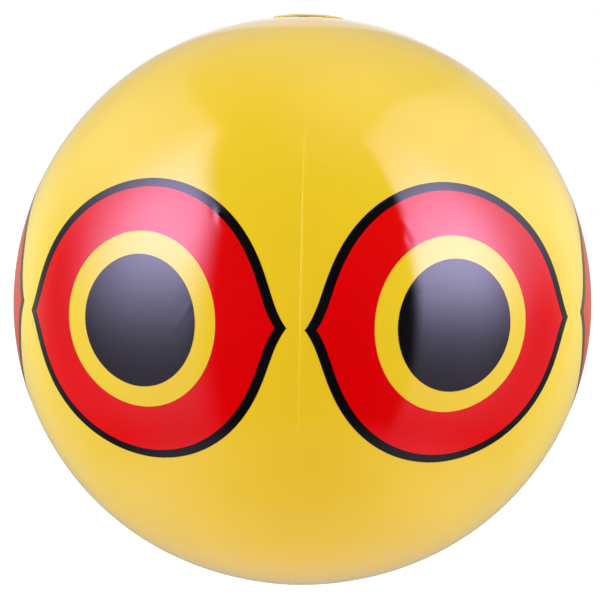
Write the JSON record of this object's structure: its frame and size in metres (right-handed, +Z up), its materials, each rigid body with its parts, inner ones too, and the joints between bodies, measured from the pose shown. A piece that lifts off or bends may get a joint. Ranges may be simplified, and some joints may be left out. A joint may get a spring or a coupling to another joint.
{
  "type": "bird scare balloon",
  "caption": "Inflatable yellow PVC ball with printed eyes all round, pole caps, a folding hanging tab and a push-in valve, hung over crops to frighten birds.",
  "frame": {"origin": "under the middle of the ball, on the flat outer face of the lower pole cap", "axes": "+Z up through both poles, -Y towards the front, where the seam between two eyes runs down the middle"},
  "size_m": [0.3954, 0.4068, 0.3941],
  "materials": {
    "yellow_film": "glossy calendered PVC film",
    "black_ink": "black screen-printed ink on glossy film",
    "red_ink": "red screen-printed ink on glossy film",
    "yellow_patch": "thicker yellow PVC sheet, welded",
    "valve_pvc": "soft milky moulded PVC"
  },
  "bodies": {
    "balloon": {"gore_front_right": "yellow_film", "gore_side_right": "yellow_film", "gore_rear_right": "yellow_film", "gore_rear_left": "yellow_film", "gore_side_left": "yellow_film", "gore_front_left": "yellow_film", "eye_outline_front_right": "black_ink", "eye_outline_side_right": "black_ink", "eye_outline_rear_right": "black_ink", "eye_outline_rear_left": "black_ink", "eye_outline_side_left": "black_ink", "eye_outline_front_left": "black_ink", "eye_iris_front_right": "red_ink", "eye_iris_side_right": "red_ink", "eye_iris_rear_right": "red_ink", "eye_iris_rear_left": "red_ink", "eye_iris_side_left": "red_ink", "eye_iris_front_left": "red_ink", "eye_pupil_front_right": "black_ink", "eye_pupil_side_right": "black_ink", "eye_pupil_rear_right": "black_ink", "eye_pupil_rear_left": "black_ink", "eye_pupil_side_left": "black_ink", "eye_pupil_front_left": "black_ink", "top_cap": "yellow_patch", "bottom_cap": "yellow_patch", "tab_foot": "yellow_patch", "valve_base": "valve_pvc", "valve_membrane": "valve_pvc"},
    "hanging_tab": {"hang_tab": "yellow_patch"},
    "stem": {"valve_stem": "valve_pvc", "plug_strap": "valve_pvc"},
    "plug": {"valve_plug": "valve_pvc"},
    "flap": {"valve_flap": "valve_pvc"}
  },
  "joints": [
    {"name": "tab_fold", "type": "hinge", "parent": "balloon", "child": "hanging_tab", "pos_m": [0, 0, 0.39425], "axis": [1, 0, 0], "range_deg": [0, 180]},
    {"name": "stem_pull", "type": "slide", "parent": "balloon", "child": "stem", "axis": [0.2886, 0.4998, -0.8166], "range_m": [0, 0.012], "deforming": ["valve_membrane"]},
    {"name": "plug_pull", "type": "slide", "parent": "stem", "child": "plug", "axis": [0.2886, 0.4998, -0.8166], "range_m": [0, 0.012], "deforming": ["plug_strap"]},
    {"name": "flap_swing", "type": "hinge", "parent": "stem", "child": "flap", "pos_m": [0.05774, 0.0884, 0.04723], "axis": [0.4083, 0.7072, 0.5772], "range_deg": [0, 65], "stiffness_Nm_per_rad": 0.00001}
  ]
}
